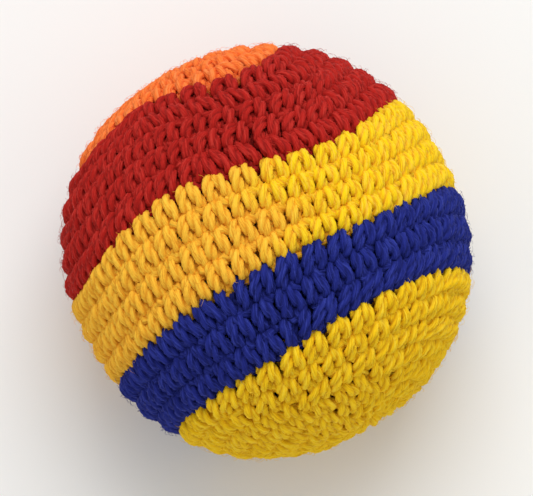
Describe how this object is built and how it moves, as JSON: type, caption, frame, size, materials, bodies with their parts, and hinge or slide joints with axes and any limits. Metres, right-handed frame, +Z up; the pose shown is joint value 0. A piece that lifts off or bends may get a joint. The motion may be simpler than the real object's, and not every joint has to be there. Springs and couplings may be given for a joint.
{
  "type": "footbag",
  "caption": "Crocheted footbag in orange, brick red, gold, navy and yellow rounds, with plastic pellets in a tied liner, resting on its side.",
  "frame": {"origin": "on the surface that the footbag rests on, straight below its middle", "axes": "+Z up; X along the crochet axis, from the orange pole where the rounds start, at -X, to the yellow pole where they close, at +X"},
  "size_m": [0.0514, 0.0506, 0.0466],
  "materials": {
    "orange_yarn": "matte cotton yarn in tight single crochet, bright orange",
    "brick_red_yarn": "matte cotton yarn in tight single crochet, brick red",
    "golden_yarn": "matte cotton yarn in tight single crochet, golden, paling to lemon along its rounds",
    "navy_yarn": "matte cotton yarn in tight single crochet, navy blue",
    "yellow_yarn": "matte cotton yarn in tight single crochet, yellow",
    "liner_film": "thin cloudy plastic film, gathered at the mouth",
    "tie_thread": "off-white sewing thread",
    "pellets": "milky white plastic pellets, cut from rod"
  },
  "bodies": {
    "root": {"orange_start_cap": "orange_yarn", "brick_red_band": "brick_red_yarn", "golden_band": "golden_yarn", "navy_band": "navy_yarn", "yellow_closing_cap": "yellow_yarn", "liner_bag": "liner_film", "liner_tie": "tie_thread", "pellet_bed": "pellets", "loose_pellet_01": "pellets", "loose_pellet_02": "pellets", "loose_pellet_03": "pellets", "loose_pellet_04": "pellets", "loose_pellet_05": "pellets", "loose_pellet_06": "pellets", "loose_pellet_07": "pellets", "loose_pellet_08": "pellets", "loose_pellet_09": "pellets", "loose_pellet_10": "pellets", "loose_pellet_11": "pellets", "loose_pellet_12": "pellets", "loose_pellet_13": "pellets", "loose_pellet_14": "pellets", "loose_pellet_15": "pellets", "loose_pellet_16": "pellets", "loose_pellet_17": "pellets", "loose_pellet_18": "pellets", "loose_pellet_19": "pellets", "loose_pellet_20": "pellets", "loose_pellet_21": "pellets", "loose_pellet_22": "pellets", "loose_pellet_23": "pellets", "loose_pellet_24": "pellets", "loose_pellet_25": "pellets", "loose_pellet_26": "pellets", "loose_pellet_27": "pellets", "loose_pellet_28": "pellets", "loose_pellet_29": "pellets", "loose_pellet_30": "pellets", "loose_pellet_31": "pellets"}
  },
  "joints": []
}
